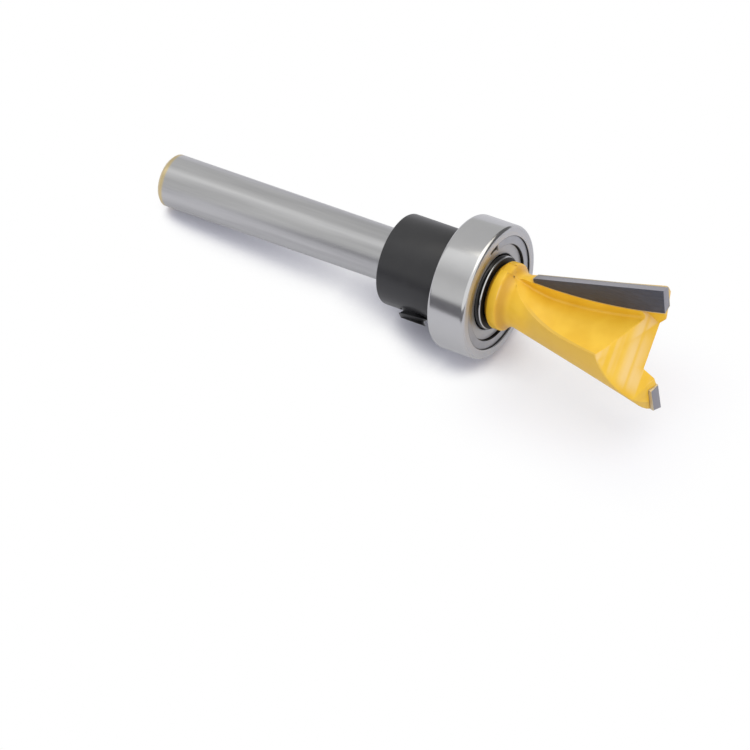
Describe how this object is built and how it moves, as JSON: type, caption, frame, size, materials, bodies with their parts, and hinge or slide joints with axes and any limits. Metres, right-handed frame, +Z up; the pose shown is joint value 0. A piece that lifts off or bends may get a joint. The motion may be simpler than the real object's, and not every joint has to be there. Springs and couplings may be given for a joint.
{
  "type": "dovetail cutter",
  "caption": "Dovetail router bit: straight shank, fluted flared head with brazed carbide tips, a shielded guide bearing and a clamped lock collar.",
  "frame": {"origin": "on the surface that the tool lies on, under the middle of its box", "axes": "+Z up; +X from the end of the shank towards the tip, with the tool's own axis tilted up by 6.98 degrees about Y"},
  "size_m": [0.0674, 0.0162, 0.0191],
  "materials": {
    "painted_steel": "semi-gloss yellow paint on the hub and head, ground bright steel on the shank",
    "carbide": "ground sintered carbide, dark grey",
    "bearing_steel": "ground and polished bearing steel",
    "ball_steel": "mirror polished",
    "cage_steel": "pressed sheet, satin",
    "shield_steel": "pressed sheet, satin",
    "spring_steel": "drawn spring wire, satin",
    "black_oxide": "black oxide, satin"
  },
  "bodies": {
    "cutter": {"cutter_body": "painted_steel", "carbide_tip_a": "carbide", "carbide_tip_b": "carbide", "lock_collar": "black_oxide", "set_screw": "black_oxide", "inner_ring": "bearing_steel"},
    "bearing_outer": {"outer_ring": "bearing_steel", "shield_front": "shield_steel", "shield_rear": "shield_steel", "snap_ring_front": "spring_steel", "snap_ring_rear": "spring_steel"},
    "ball_cage": {"cage": "cage_steel", "ball_1": "ball_steel", "ball_2": "ball_steel", "ball_3": "ball_steel", "ball_4": "ball_steel", "ball_5": "ball_steel", "ball_6": "ball_steel", "ball_7": "ball_steel", "ball_8": "ball_steel"}
  },
  "joints": [
    {"name": "bearing_spin", "type": "hinge", "parent": "cutter", "child": "bearing_outer", "pos_m": [0.00884, 0, 0.00825], "axis": [0.9926, 0, 0.1215], "continuous": true},
    {"name": "cage_spin", "type": "hinge", "parent": "cutter", "child": "ball_cage", "pos_m": [0.00884, 0, 0.00825], "axis": [0.9926, 0, 0.1215], "continuous": true}
  ],
  "couplings": [
    {"joint": "cage_spin", "follows": "bearing_spin", "ratio": 0.60578}
  ]
}
